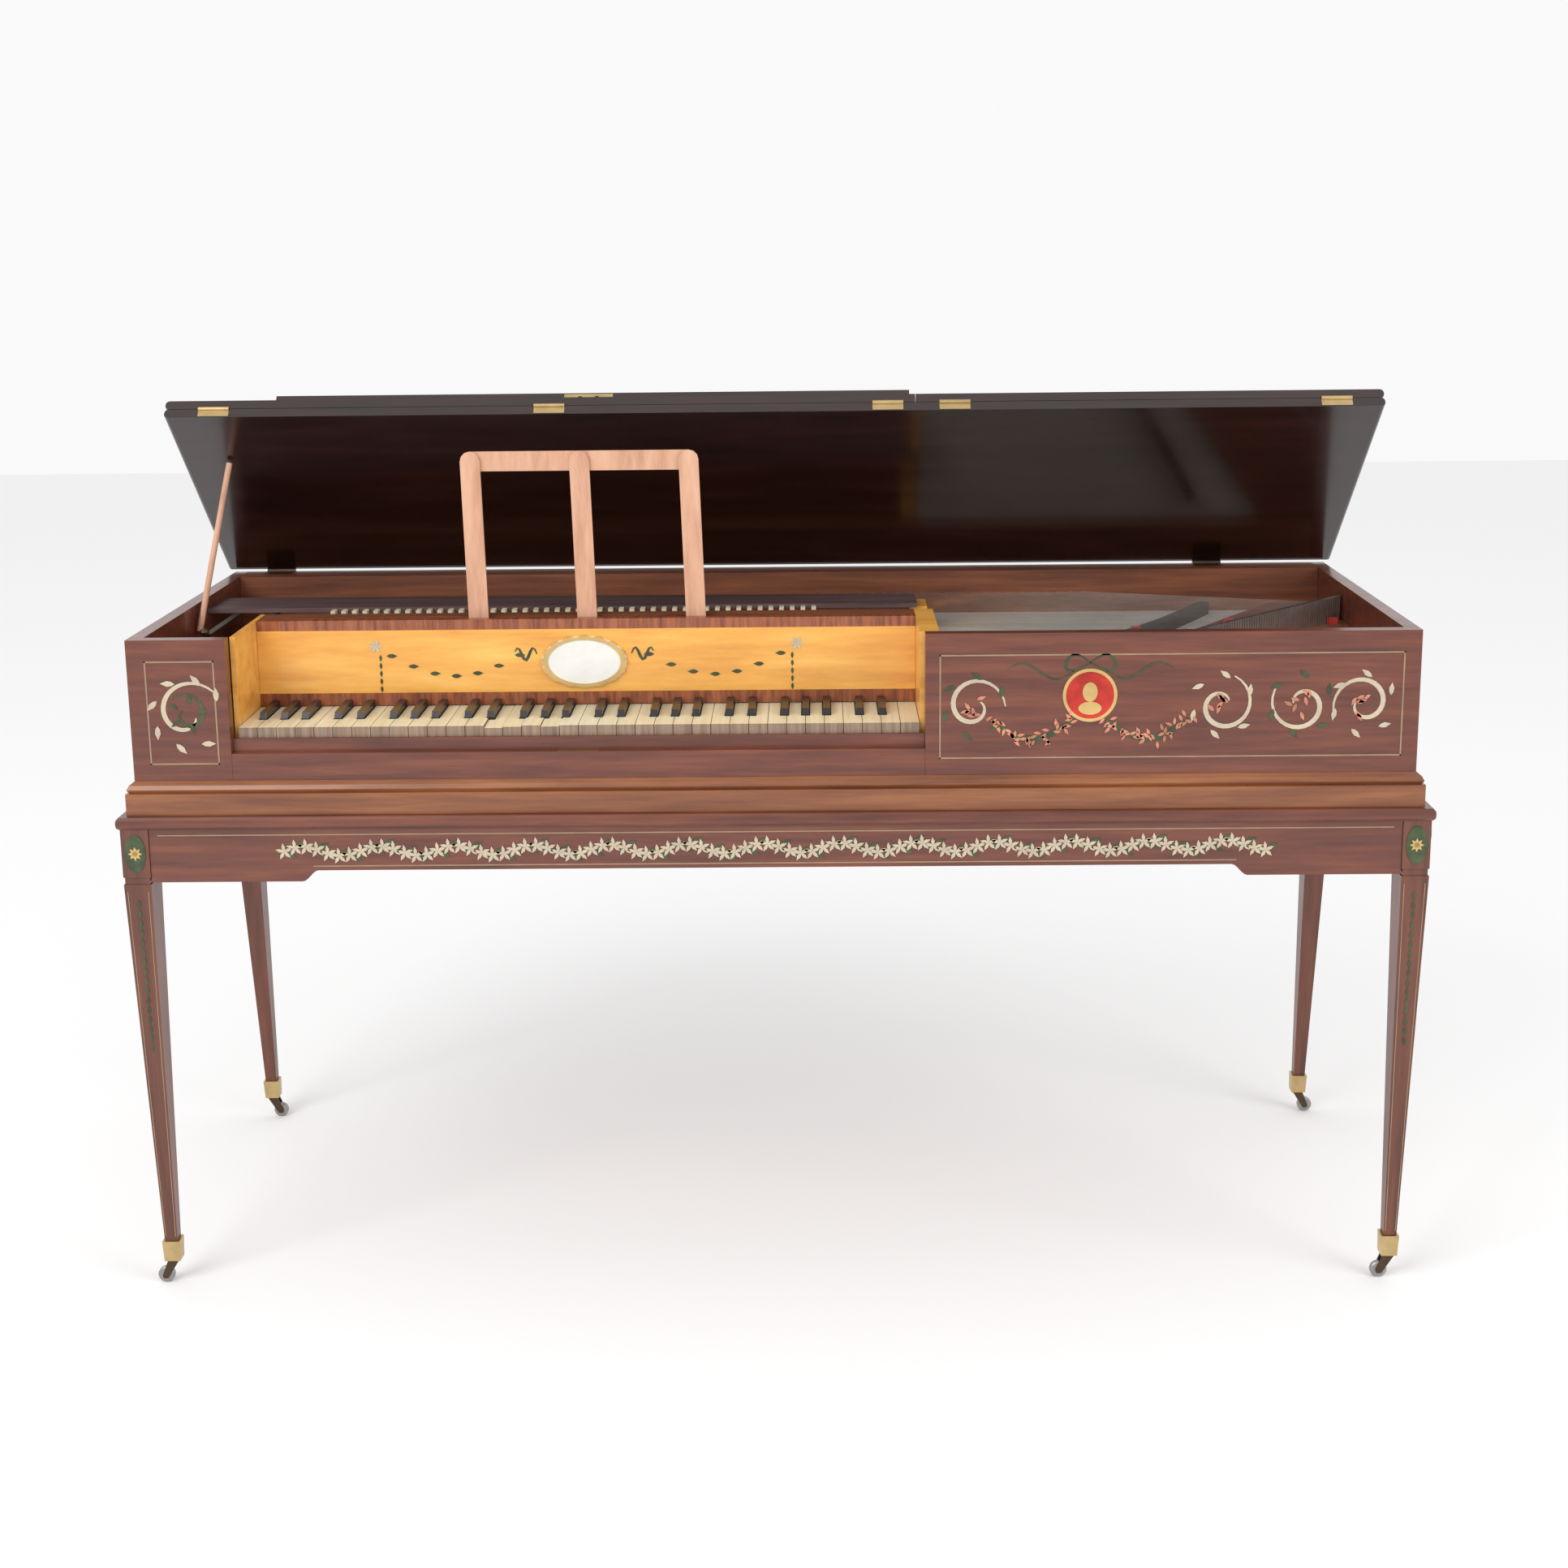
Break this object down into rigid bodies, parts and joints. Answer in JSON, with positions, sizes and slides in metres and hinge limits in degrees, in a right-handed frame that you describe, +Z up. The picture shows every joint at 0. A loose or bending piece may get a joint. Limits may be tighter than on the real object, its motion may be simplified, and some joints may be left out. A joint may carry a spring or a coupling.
{
  "type": "square piano",
  "caption": "Square piano on a four-legged stand: propped lid with folding flaps and lock board, folding music desk, keyboard, and castors.",
  "frame": {"origin": "middle of the bounding box on the floor", "axes": "+X to the player's right, +Y to the back, +Z up"},
  "size_m": [1.608, 0.559, 1.1041],
  "materials": {
    "mahogany": "polished",
    "lid_mahogany": "gloss",
    "satinwood": "polished",
    "pale_wood": "plain",
    "desk_wood": "satin",
    "dark_board": "matt",
    "ivory": "smooth",
    "ebony": "satin",
    "brass": "aged",
    "dark_iron": "dark",
    "enamel": "smooth"
  },
  "bodies": {
    "case": {"case_bottom": "mahogany", "left_side": "mahogany", "right_side": "mahogany", "case_back": "mahogany", "left_front_panel": "mahogany", "right_front_panel": "mahogany", "low_front_rail": "mahogany", "left_cheek": "satinwood", "belly_rail": "satinwood", "nameboard": "satinwood", "nameboard_ledge": "mahogany", "name_plaque": "enamel", "soundboard": "pale_wood", "wrest_plank": "mahogany", "dust_board": "dark_board", "key_frame": "pale_wood", "left_lid_hinge": "dark_iron", "right_lid_hinge": "dark_iron", "front_stand_rail": "mahogany", "left_stand_rail": "mahogany", "right_stand_rail": "mahogany", "rear_stand_rail": "mahogany", "front_left_leg": "mahogany", "front_left_ferrule": "brass", "front_right_leg": "mahogany", "front_right_ferrule": "brass", "rear_left_leg": "mahogany", "rear_left_ferrule": "brass", "rear_right_leg": "mahogany", "rear_right_ferrule": "brass"},
    "lid": {"lid": "lid_mahogany", "flap_hinge_far_left": "brass", "flap_hinge_middle": "brass", "flap_hinge_inner": "brass", "flap_hinge_right_inner": "brass", "flap_hinge_far_right": "brass"},
    "left_flap": {"left_flap": "lid_mahogany"},
    "right_flap": {"right_flap": "lid_mahogany"},
    "lock_board": {"lock_board": "lid_mahogany", "lock": "brass"},
    "prop": {"prop": "desk_wood"},
    "left_desk_stile": {"left_desk_stile": "desk_wood"},
    "middle_desk_stile": {"middle_desk_stile": "desk_wood"},
    "right_desk_stile": {"right_desk_stile": "desk_wood"},
    "desk_rail": {"desk_rail": "desk_wood"},
    "front_stop": {"front_stop": "brass"},
    "rear_stop": {"rear_stop": "brass"},
    "natural_keys": {"natural_keys": "ivory"},
    "sharp_keys": {"sharp_keys": "ebony"},
    "sunk_key_low": {"sunk_key_low": "ivory"},
    "sunk_key_middle": {"sunk_key_middle": "ivory"},
    "sunk_key_high": {"sunk_key_high": "ivory"},
    "front_left_castor_fork": {"front_left_castor_fork": "dark_iron"},
    "front_left_castor_wheel": {"front_left_castor_wheel": "dark_iron"},
    "front_right_castor_fork": {"front_right_castor_fork": "dark_iron"},
    "front_right_castor_wheel": {"front_right_castor_wheel": "dark_iron"},
    "rear_left_castor_fork": {"rear_left_castor_fork": "dark_iron"},
    "rear_left_castor_wheel": {"rear_left_castor_wheel": "dark_iron"},
    "rear_right_castor_fork": {"rear_right_castor_fork": "dark_iron"},
    "rear_right_castor_wheel": {"rear_right_castor_wheel": "dark_iron"}
  },
  "joints": [
    {"name": "lid_hinge", "type": "hinge", "parent": "case", "child": "lid", "pos_m": [0, 0.2738, 0.835], "axis": [-1, 0, 0], "range_deg": [-42, 5]},
    {"name": "left_flap_hinge", "type": "hinge", "parent": "lid", "child": "left_flap", "pos_m": [0, 0.00994, 1.09088], "axis": [-1, 0, 0], "range_deg": [-180, 0]},
    {"name": "right_flap_hinge", "type": "hinge", "parent": "lid", "child": "right_flap", "pos_m": [0, 0.00994, 1.09088], "axis": [-1, 0, 0], "range_deg": [-180, 0]},
    {"name": "lock_board_hinge", "type": "hinge", "parent": "left_flap", "child": "lock_board", "pos_m": [0, 0.13416, 0.99868], "axis": [1, 0, 0], "range_deg": [-90, 0]},
    {"name": "prop_hinge", "type": "hinge", "parent": "lid", "child": "prop", "pos_m": [-0.729, 0.06968, 1.013], "axis": [1, 0, 0], "range_deg": [-104.3, 12.5]},
    {"name": "left_stile_pivot", "type": "hinge", "parent": "case", "child": "left_desk_stile", "pos_m": [-0.3722, -0.11945, 0.767], "axis": [0, 0.9945, -0.1045], "range_deg": [-76, 0]},
    {"name": "middle_stile_pivot", "type": "hinge", "parent": "case", "child": "middle_desk_stile", "pos_m": [-0.2339, -0.11945, 0.767], "axis": [0, 0.9945, -0.1045], "range_deg": [-76, 0]},
    {"name": "right_stile_pivot", "type": "hinge", "parent": "case", "child": "right_desk_stile", "pos_m": [-0.0956, -0.11945, 0.767], "axis": [0, 0.9945, -0.1045], "range_deg": [-76, 0]},
    {"name": "desk_rail_pivot", "type": "hinge", "parent": "left_desk_stile", "child": "desk_rail", "pos_m": [-0.38143, -0.09183, 1.02979], "axis": [0, 0.9945, -0.1045], "range_deg": [0, 76]},
    {"name": "front_stop_pivot", "type": "hinge", "parent": "case", "child": "front_stop", "pos_m": [-0.724, 0.055, 0.8137], "axis": [0, 0, 1], "range_deg": [0, 5]},
    {"name": "rear_stop_pivot", "type": "hinge", "parent": "case", "child": "rear_stop", "pos_m": [-0.674, 0.055, 0.8137], "axis": [0, 0, 1], "range_deg": [0, 4]},
    {"name": "natural_keys_dip", "type": "hinge", "parent": "case", "child": "natural_keys", "pos_m": [0, -0.0685, 0.7083], "axis": [1, 0, 0], "range_deg": [0, 2.4], "stiffness_Nm_per_rad": 30, "springref_deg": -5.73},
    {"name": "sharp_keys_dip", "type": "hinge", "parent": "case", "child": "sharp_keys", "pos_m": [0, -0.0685, 0.7083], "axis": [1, 0, 0], "range_deg": [0, 2.4], "stiffness_Nm_per_rad": 15, "springref_deg": -5.73},
    {"name": "sunk_key_low_dip", "type": "hinge", "parent": "case", "child": "sunk_key_low", "pos_m": [-0.34203, -0.0685, 0.7083], "axis": [1, 0, 0], "range_deg": [-0.9, 1.5]},
    {"name": "sunk_key_middle_dip", "type": "hinge", "parent": "case", "child": "sunk_key_middle", "pos_m": [-0.31884, -0.0685, 0.7083], "axis": [1, 0, 0], "range_deg": [-0.5, 1.9]},
    {"name": "sunk_key_high_dip", "type": "hinge", "parent": "case", "child": "sunk_key_high", "pos_m": [-0.27247, -0.0685, 0.7083], "axis": [1, 0, 0], "range_deg": [-0.5, 1.9]},
    {"name": "front_left_swivel", "type": "hinge", "parent": "case", "child": "front_left_castor_fork", "pos_m": [-0.7737, -0.2683, 0.032], "axis": [0, 0, 1], "continuous": true},
    {"name": "front_left_wheel_spin", "type": "hinge", "parent": "front_left_castor_fork", "child": "front_left_castor_wheel", "pos_m": [-0.7847, -0.2683, 0.0105], "axis": [0, 1, 0], "continuous": true},
    {"name": "front_right_swivel", "type": "hinge", "parent": "case", "child": "front_right_castor_fork", "pos_m": [0.7737, -0.2683, 0.032], "axis": [0, 0, 1], "continuous": true},
    {"name": "front_right_wheel_spin", "type": "hinge", "parent": "front_right_castor_fork", "child": "front_right_castor_wheel", "pos_m": [0.7627, -0.2683, 0.0105], "axis": [0, 1, 0], "continuous": true},
    {"name": "rear_left_swivel", "type": "hinge", "parent": "case", "child": "rear_left_castor_fork", "pos_m": [-0.7737, 0.2623, 0.032], "axis": [0, 0, 1], "continuous": true},
    {"name": "rear_left_wheel_spin", "type": "hinge", "parent": "rear_left_castor_fork", "child": "rear_left_castor_wheel", "pos_m": [-0.7627, 0.2623, 0.0105], "axis": [0, 1, 0], "continuous": true},
    {"name": "rear_right_swivel", "type": "hinge", "parent": "case", "child": "rear_right_castor_fork", "pos_m": [0.7737, 0.2623, 0.032], "axis": [0, 0, 1], "continuous": true},
    {"name": "rear_right_wheel_spin", "type": "hinge", "parent": "rear_right_castor_fork", "child": "rear_right_castor_wheel", "pos_m": [0.7847, 0.2623, 0.0105], "axis": [0, 1, 0], "continuous": true}
  ],
  "couplings": [
    {"joint": "prop_hinge", "follows": "lid_hinge", "ratio": 2.4803},
    {"joint": "middle_stile_pivot", "follows": "left_stile_pivot", "ratio": 1},
    {"joint": "right_stile_pivot", "follows": "left_stile_pivot", "ratio": 1},
    {"joint": "desk_rail_pivot", "follows": "left_stile_pivot", "ratio": -1}
  ]
}
